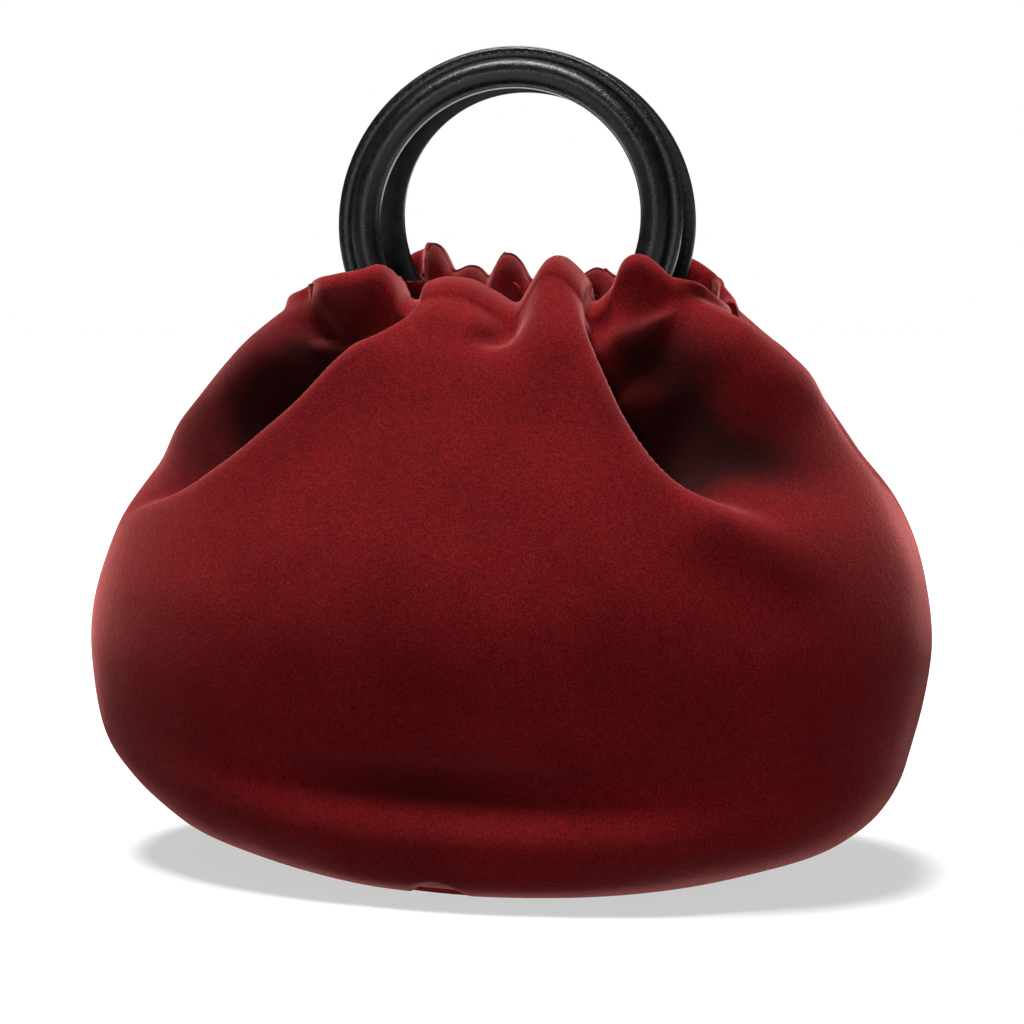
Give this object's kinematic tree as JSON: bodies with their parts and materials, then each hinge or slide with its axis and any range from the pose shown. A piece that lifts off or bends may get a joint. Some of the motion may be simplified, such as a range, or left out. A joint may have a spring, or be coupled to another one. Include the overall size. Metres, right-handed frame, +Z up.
{
  "type": "bucket bag",
  "caption": "Soft bucket bag of gathered suede: a wide sagging body, a mouth that tilts open and round leather ring handles that turn in cloth sleeves.",
  "frame": {"origin": "on the floor under the middle of the bag", "axes": "+Z up, front towards -Y, +X to the right seen from the front, along the bag's longest side"},
  "size_m": [0.333, 0.192, 0.3174],
  "materials": {
    "red_suede": "dark red suede, napped side out",
    "black_leather": "black smooth leather with a fine grain, satin",
    "lining_canvas": "plain-woven cotton lining, beige",
    "fibreboard": "pressed fibreboard",
    "handle_core": "moulded nylon",
    "snap_metal": "nickel-plated, satin"
  },
  "bodies": {
    "bag": {"front_panel": "red_suede", "back_panel": "red_suede", "base_panel": "red_suede", "base_board": "fibreboard", "front_lining": "lining_canvas", "back_lining": "lining_canvas", "base_lining": "lining_canvas", "inner_pocket": "lining_canvas", "pocket_trim": "black_leather"},
    "front_mouth": {"front_gather": "red_suede", "front_facing": "red_suede", "front_ring_sleeve": "lining_canvas", "snap_socket": "snap_metal"},
    "back_mouth": {"back_gather": "red_suede", "back_facing": "red_suede", "back_ring_sleeve": "lining_canvas"},
    "closure_tab": {"closure_tab": "black_leather", "snap_stud": "snap_metal", "snap_stud_cap": "snap_metal"},
    "front_ring": {"front_ring_cover": "black_leather", "front_ring_core": "handle_core", "front_ring_plate": "handle_core", "front_ring_backing": "black_leather"},
    "back_ring": {"back_ring_cover": "black_leather", "back_ring_core": "handle_core", "back_ring_plate": "handle_core", "back_ring_backing": "black_leather"}
  },
  "joints": [
    {"name": "front_mouth_tilt", "type": "hinge", "parent": "bag", "child": "front_mouth", "pos_m": [0, -0.0542, 0.2], "axis": [1, 0, 0], "range_deg": [0, 45]},
    {"name": "back_mouth_tilt", "type": "hinge", "parent": "bag", "child": "back_mouth", "pos_m": [0, 0.0542, 0.2], "axis": [-1, 0, 0], "range_deg": [0, 45]},
    {"name": "front_ring_turn", "type": "hinge", "parent": "front_mouth", "child": "front_ring", "pos_m": [0, -0.0215, 0.252], "axis": [0, -0.9877, 0.1564], "continuous": true},
    {"name": "back_ring_turn", "type": "hinge", "parent": "back_mouth", "child": "back_ring", "pos_m": [0, 0.0215, 0.252], "axis": [0, 0.9877, 0.1564], "continuous": true},
    {"name": "closure_tab_swing", "type": "hinge", "parent": "back_mouth", "child": "closure_tab", "pos_m": [0, 0.01817, 0.22059], "axis": [-1, 0, 0], "range_deg": [0, 50]}
  ]
}
